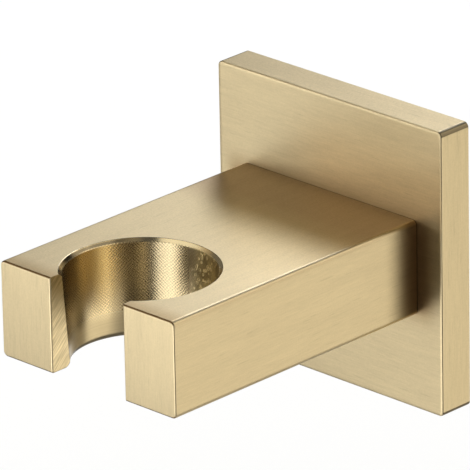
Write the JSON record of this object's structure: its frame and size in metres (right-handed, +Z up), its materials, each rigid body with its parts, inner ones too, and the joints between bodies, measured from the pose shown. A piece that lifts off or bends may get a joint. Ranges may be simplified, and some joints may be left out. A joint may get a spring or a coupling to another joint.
{
  "type": "hand shower holder",
  "caption": "Square wall-fixed hand shower holder: a solid block arm with an open conical cradle and hose slot, on a square cover plate over a hidden wall bracket.",
  "frame": {"origin": "middle of the square back, in the plane of the wall", "axes": "+Y into the wall, so the arm stands out along -Y; +Z up, along the axis of the cradle; +X to the right seen from the front"},
  "size_m": [0.05, 0.0629, 0.05],
  "materials": {
    "brushed_gold_brass": "brushed, pale gold coating over brass",
    "raw_brass": "milled, uncoated",
    "stainless_steel": "plain turned"
  },
  "bodies": {
    "root": {"holder_arm": "brushed_gold_brass", "cover_plate": "brushed_gold_brass", "wall_bracket": "raw_brass", "arm_screws": "stainless_steel", "grub_screw": "stainless_steel"}
  },
  "joints": []
}
